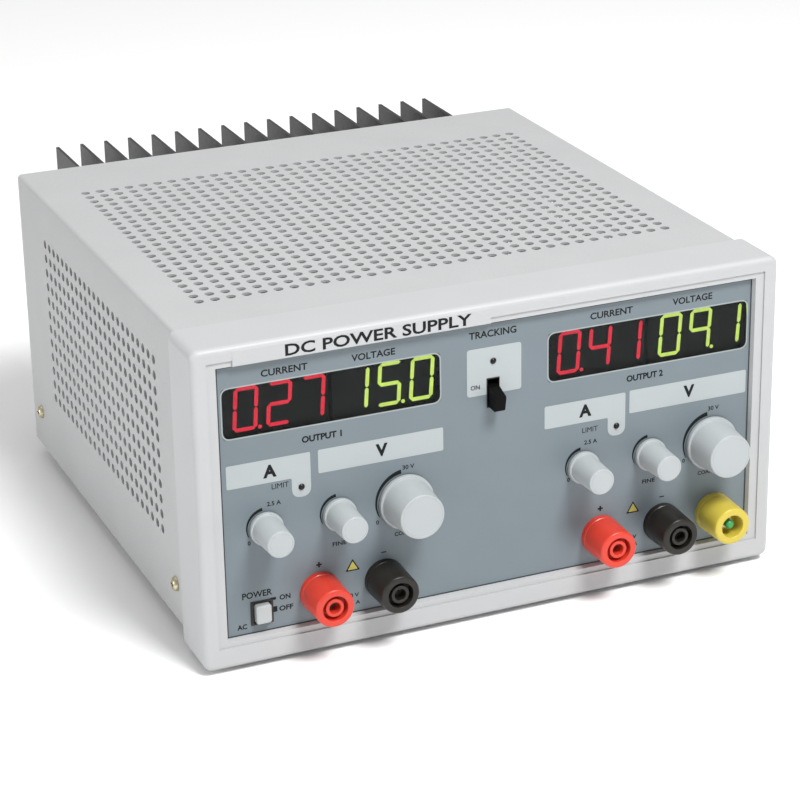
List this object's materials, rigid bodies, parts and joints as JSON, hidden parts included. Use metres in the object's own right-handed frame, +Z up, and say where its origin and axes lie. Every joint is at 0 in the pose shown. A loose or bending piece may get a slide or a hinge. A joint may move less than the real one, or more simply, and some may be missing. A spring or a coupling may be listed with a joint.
{
  "type": "bench power supply",
  "caption": "Bench power supply with two adjustable outputs, LED meters, turning knobs, binding posts, a tracking lever, a vented cover and a finned rear heat sink.",
  "frame": {"origin": "middle of the footprint, on the surface that the rubber feet stand on", "axes": "+Z up; the front panel faces -Y; +X is to the right as seen from the front"},
  "size_m": [0.274, 0.328, 0.1485],
  "materials": {
    "grey_paint": "textured light grey paint",
    "zinc_plate": "zinc plated",
    "bezel_plastic": "moulded, satin",
    "panel_paint": "satin blue grey",
    "smoked_window": "smoked, polished",
    "digit_module": "matt",
    "circuit_board": "solder resist",
    "nickel": "nickel plated",
    "green_plastic": "moulded",
    "red_plastic": "moulded",
    "black_plastic": "moulded",
    "yellow_plastic": "moulded",
    "dark_lens": "unlit lens",
    "button_plastic": "moulded",
    "black_anodised": "black anodised",
    "core_steel": "varnished laminations",
    "copper_winding": "enamelled copper under tape",
    "capacitor_sleeve": "shrink sleeve",
    "black_rubber": "moulded",
    "knob_plastic": "moulded, satin"
  },
  "bodies": {
    "case": {"board_standoffs": "nickel", "chassis_screws": "nickel", "chassis_tray": "zinc_plate", "cover": "grey_paint", "cover_screws": "nickel", "display_boards": "circuit_board", "display_window_1": "smoked_window", "display_window_2": "smoked_window", "earth_contact": "green_plastic", "filter_capacitors": "capacitor_sleeve", "foot_screws": "nickel", "front_bezel": "bezel_plastic", "front_panel": "panel_paint", "fuse_holder": "black_plastic", "green_digits_1": "digit_module", "green_digits_2": "digit_module", "heat_sink": "black_anodised", "indicator_lamps": "dark_lens", "inlet_pins": "nickel", "inlet_screws": "nickel", "main_board": "circuit_board", "mains_inlet": "black_plastic", "post_bases_black": "black_plastic", "post_bases_earth": "yellow_plastic", "post_bases_red": "red_plastic", "post_fixings": "nickel", "post_studs": "nickel", "potentiometer_nuts": "nickel", "potentiometers": "zinc_plate", "power_switch": "black_plastic", "power_transistors": "black_plastic", "rear_panel": "grey_paint", "rectifier_bridges": "black_plastic", "red_digits_1": "digit_module", "red_digits_2": "digit_module", "rubber_feet": "black_rubber", "sink_screws": "nickel", "tracking_switch": "black_plastic", "transformer_core": "core_steel", "transformer_winding": "copper_winding"},
    "current_control_1": {"current_knob_1": "knob_plastic", "current_shaft_1": "nickel"},
    "fine_control_1": {"fine_knob_1": "knob_plastic", "fine_shaft_1": "nickel"},
    "voltage_control_1": {"voltage_knob_1": "knob_plastic", "voltage_shaft_1": "nickel"},
    "current_control_2": {"current_knob_2": "knob_plastic", "current_shaft_2": "nickel"},
    "fine_control_2": {"fine_knob_2": "knob_plastic", "fine_shaft_2": "nickel"},
    "voltage_control_2": {"voltage_knob_2": "knob_plastic", "voltage_shaft_2": "nickel"},
    "post_red_1": {"post_cap_red_1": "red_plastic"},
    "post_black_1": {"post_cap_black_1": "black_plastic"},
    "post_red_2": {"post_cap_red_2": "red_plastic"},
    "post_black_2": {"post_cap_black_2": "black_plastic"},
    "post_earth": {"post_cap_earth": "yellow_plastic"},
    "tracking_arm": {"tracking_lever": "black_plastic"},
    "mains_button": {"power_button": "button_plastic"},
    "fuse_drawer": {"fuse_cap": "black_plastic"}
  },
  "joints": [
    {"name": "current_turn_1", "type": "hinge", "parent": "case", "child": "current_control_1", "pos_m": [-0.1065, -0.145, 0.0638], "axis": [0, 1, 0], "range_deg": [0, 300]},
    {"name": "fine_turn_1", "type": "hinge", "parent": "case", "child": "fine_control_1", "pos_m": [-0.0733, -0.145, 0.0638], "axis": [0, 1, 0], "range_deg": [0, 300]},
    {"name": "voltage_turn_1", "type": "hinge", "parent": "case", "child": "voltage_control_1", "pos_m": [-0.0425, -0.145, 0.0638], "axis": [0, 1, 0], "range_deg": [0, 300]},
    {"name": "current_turn_2", "type": "hinge", "parent": "case", "child": "current_control_2", "pos_m": [0.0425, -0.145, 0.0638], "axis": [0, 1, 0], "range_deg": [0, 300]},
    {"name": "fine_turn_2", "type": "hinge", "parent": "case", "child": "fine_control_2", "pos_m": [0.0757, -0.145, 0.0638], "axis": [0, 1, 0], "range_deg": [0, 300]},
    {"name": "voltage_turn_2", "type": "hinge", "parent": "case", "child": "voltage_control_2", "pos_m": [0.1065, -0.145, 0.0638], "axis": [0, 1, 0], "range_deg": [0, 300]},
    {"name": "unscrew_red_1", "type": "hinge", "parent": "case", "child": "post_red_1", "pos_m": [-0.083, -0.155, 0.029], "axis": [0, -1, 0], "range_deg": [0, 720]},
    {"name": "unscrew_black_1", "type": "hinge", "parent": "case", "child": "post_black_1", "pos_m": [-0.053, -0.155, 0.029], "axis": [0, -1, 0], "range_deg": [0, 720]},
    {"name": "unscrew_red_2", "type": "hinge", "parent": "case", "child": "post_red_2", "pos_m": [0.0515, -0.155, 0.029], "axis": [0, -1, 0], "range_deg": [0, 720]},
    {"name": "unscrew_black_2", "type": "hinge", "parent": "case", "child": "post_black_2", "pos_m": [0.0825, -0.155, 0.029], "axis": [0, -1, 0], "range_deg": [0, 720]},
    {"name": "unscrew_earth", "type": "hinge", "parent": "case", "child": "post_earth", "pos_m": [0.1089, -0.155, 0.029], "axis": [0, -1, 0], "range_deg": [0, 720]},
    {"name": "tracking_flip", "type": "hinge", "parent": "case", "child": "tracking_arm", "pos_m": [-0.0008, -0.1382, 0.1067], "axis": [-1, 0, 0], "range_deg": [0, 22.4]},
    {"name": "mains_press", "type": "slide", "parent": "case", "child": "mains_button", "axis": [0, 1, 0], "range_m": [0, 0.0025], "stiffness_N_per_m": 400},
    {"name": "fuse_turn", "type": "hinge", "parent": "case", "child": "fuse_drawer", "pos_m": [0.058, 0.125, 0.0255], "axis": [0, 1, 0], "range_deg": [0, 90]}
  ]
}
